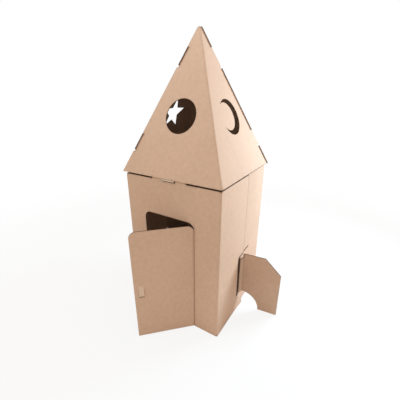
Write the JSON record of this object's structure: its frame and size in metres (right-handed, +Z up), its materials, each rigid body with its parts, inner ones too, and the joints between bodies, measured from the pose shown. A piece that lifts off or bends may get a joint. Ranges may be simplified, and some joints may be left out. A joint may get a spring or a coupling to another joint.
{
  "type": "cardboard rocket playhouse",
  "caption": "Tall square cardboard playhouse shaped as a rocket: lapped walls with a swinging door, a pointed roof with cut-out windows and a plug-in fin on each side.",
  "frame": {"origin": "middle of the tower's footprint on the floor", "axes": "+Z up, -Y out of the door wall, +X to the right as seen from the front"},
  "size_m": [1.15, 0.8926, 1.6981],
  "materials": {
    "kraft_board": "plain matt kraft liner, unprinted"
  },
  "bodies": {
    "house": {"front_sheet": "kraft_board", "rear_sheet": "kraft_board", "roof_front": "kraft_board", "roof_rear": "kraft_board", "fin_right": "kraft_board", "fin_left": "kraft_board"},
    "door": {"door": "kraft_board"}
  },
  "joints": [
    {"name": "door_hinge", "type": "hinge", "parent": "house", "child": "door", "pos_m": [0.162, -0.32, 0], "axis": [0, 0, 1], "range_deg": [-45, 125]}
  ]
}
